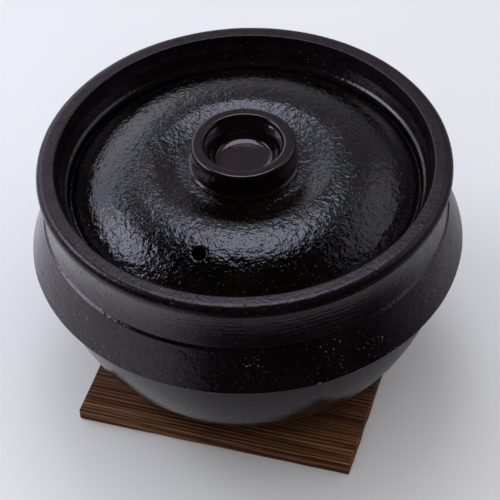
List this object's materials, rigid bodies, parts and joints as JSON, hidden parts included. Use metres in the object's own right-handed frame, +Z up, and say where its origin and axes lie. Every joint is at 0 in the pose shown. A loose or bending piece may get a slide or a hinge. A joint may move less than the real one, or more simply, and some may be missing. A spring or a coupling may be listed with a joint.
{
  "type": "lidded rice pot",
  "caption": "Dark glazed earthenware rice pot with a flange, a deep collar, a sunken domed lid with a ring knob, an inner lid, and a square cedar board under it.",
  "frame": {"origin": "centre of the board's underside, on the pot's axis", "axes": "+Z up along the pot's axis; +X and +Y along the board's sides, the board's grain along X, the steam hole towards -Y"},
  "size_m": [0.2399, 0.24, 0.1631],
  "materials": {
    "scorched_cedar": "scorched and brushed, open grain",
    "pot_glaze": "satin black glaze over coarse clay, pitted",
    "inner_lid_glaze": "satin black glaze",
    "outer_lid_glaze": "glossy black glaze, orange-peel surface with pits"
  },
  "bodies": {
    "trivet": {"trivet_board": "scorched_cedar"},
    "pot": {"pot_body": "pot_glaze"},
    "inner_lid_unit": {"inner_lid": "inner_lid_glaze", "inner_lid_knob": "inner_lid_glaze"},
    "outer_lid_unit": {"outer_lid": "outer_lid_glaze", "outer_lid_knob": "outer_lid_glaze"}
  },
  "joints": [
    {"name": "pot_lift", "type": "slide", "parent": "trivet", "child": "pot", "axis": [0, 0, 1], "range_m": [0, 0.06]},
    {"name": "inner_lid_lift", "type": "slide", "parent": "pot", "child": "inner_lid_unit", "axis": [0, 0, 1], "range_m": [0, 0.1]},
    {"name": "outer_lid_lift", "type": "slide", "parent": "inner_lid_unit", "child": "outer_lid_unit", "axis": [0, 0, 1], "range_m": [0, 0.08]}
  ]
}
